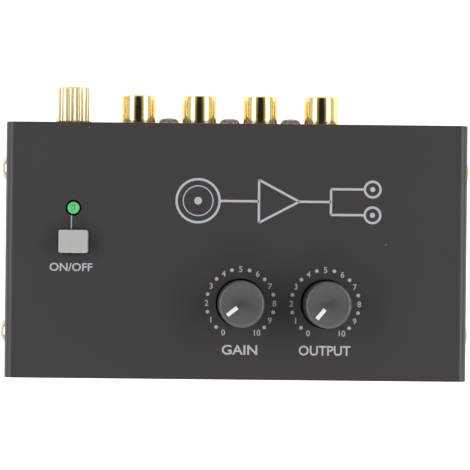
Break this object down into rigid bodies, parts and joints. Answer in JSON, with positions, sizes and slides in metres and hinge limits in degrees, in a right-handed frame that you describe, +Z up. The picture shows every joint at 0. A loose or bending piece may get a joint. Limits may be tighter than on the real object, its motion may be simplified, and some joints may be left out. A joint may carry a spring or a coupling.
{
  "type": "phono preamp",
  "caption": "Small black sheet-metal phono preamp with level and volume dials, power button and light on top, phono sockets and ground post behind.",
  "frame": {"origin": "on the surface the feet stand on, below the middle of the whole object's box, ground post included", "axes": "+X to the right seen from the front, +Y towards the sockets at the back, +Z up"},
  "size_m": [0.1122, 0.069, 0.0404],
  "materials": {
    "cover_paint": "satin black powder coat",
    "tray_paint": "satin black powder coat",
    "dark_screw": "black nickel plated steel",
    "side_screw": "nickel plated steel",
    "foot_rubber": "matt black rubber",
    "board": "green solder mask",
    "standoff_metal": "plain brass",
    "zinc": "zinc plated steel",
    "socket_plastic": "black moulded plastic",
    "gold": "gold plated brass",
    "pale_gold": "pale gold plated brass",
    "white_plastic": "white moulded plastic",
    "red_plastic": "red moulded plastic",
    "wire_green": "green wire insulation",
    "pot_metal": "tin plated steel",
    "pot_wafer": "brown phenolic board",
    "knob_black": "black plastic with a spun top",
    "pointer_white": "white inlay",
    "button_grey": "warm light grey plastic",
    "spring_steel": "bright spring wire",
    "light_green": "green tinted epoxy",
    "chip_black": "moulded black epoxy",
    "capacitor_sleeve": "shrunk sleeve",
    "film_red": "dipped red film capacitor",
    "resistor_blue": "blue lacquer"
  },
  "bodies": {
    "root": {"base_tray": "tray_paint", "top_cover": "cover_paint", "cover_screws": "side_screw", "rubber_feet": "foot_rubber", "circuit_board": "board", "board_standoffs": "standoff_metal", "board_screws": "zinc", "phono_socket_block": "socket_plastic", "input_left_shell": "gold", "input_right_shell": "gold", "output_left_shell": "gold", "output_right_shell": "gold", "left_channel_insulators": "white_plastic", "right_channel_insulators": "red_plastic", "phono_centre_contacts": "gold", "socket_screws": "dark_screw", "ground_stud": "pale_gold", "ground_lock_nut": "zinc", "ground_lug": "zinc", "ground_wire": "wire_green", "power_inlet_housing": "socket_plastic", "power_inlet_pin": "zinc", "power_switch_body": "socket_plastic", "power_switch_spring": "spring_steel", "power_light": "light_green", "power_light_spacer": "socket_plastic", "power_light_legs": "zinc", "amplifier_chips": "chip_black", "electrolytic_capacitors": "capacitor_sleeve", "film_capacitors": "film_red", "resistors": "resistor_blue", "voltage_regulator": "chip_black", "level_pot_lower_gang": "pot_metal", "level_pot_upper_gang": "pot_metal", "level_pot_wafer": "pot_wafer", "level_pot_bushing": "pot_metal", "volume_pot_lower_gang": "pot_metal", "volume_pot_upper_gang": "pot_metal", "volume_pot_wafer": "pot_wafer", "volume_pot_bushing": "pot_metal"},
    "level_dial": {"level_shaft": "zinc", "level_knob": "knob_black", "level_pointer": "pointer_white"},
    "volume_dial": {"volume_shaft": "zinc", "volume_knob": "knob_black", "volume_pointer": "pointer_white"},
    "power_button": {"power_button_cap": "button_grey", "power_switch_plunger": "white_plastic"},
    "ground_slider": {"ground_washer": "pale_gold"},
    "ground_nut": {"ground_thumb_nut": "pale_gold"}
  },
  "joints": [
    {"name": "level_knob_turn", "type": "hinge", "parent": "root", "child": "level_dial", "pos_m": [0.0011, -0.01665, 0.0244], "axis": [0, 0, 1], "range_deg": [-277.9, 22.1]},
    {"name": "volume_knob_turn", "type": "hinge", "parent": "root", "child": "volume_dial", "pos_m": [0.0209, -0.01665, 0.0244], "axis": [0, 0, 1], "range_deg": [-290.5, 9.5]},
    {"name": "power_button_press", "type": "slide", "parent": "root", "child": "power_button", "axis": [0, 0, -1], "range_m": [0, 0.002], "stiffness_N_per_m": 300, "deforming": ["power_switch_spring"]},
    {"name": "ground_nut_slide", "type": "slide", "parent": "root", "child": "ground_slider", "axis": [0, 1, 0], "range_m": [0, 0.0035]},
    {"name": "ground_nut_turn", "type": "hinge", "parent": "ground_slider", "child": "ground_nut", "pos_m": [-0.039, 0.02995, 0.016], "axis": [0, 1, 0], "range_deg": [0, 1800]}
  ],
  "couplings": [
    {"joint": "ground_nut_turn", "follows": "ground_nut_slide", "rad_per_m": 8976}
  ]
}
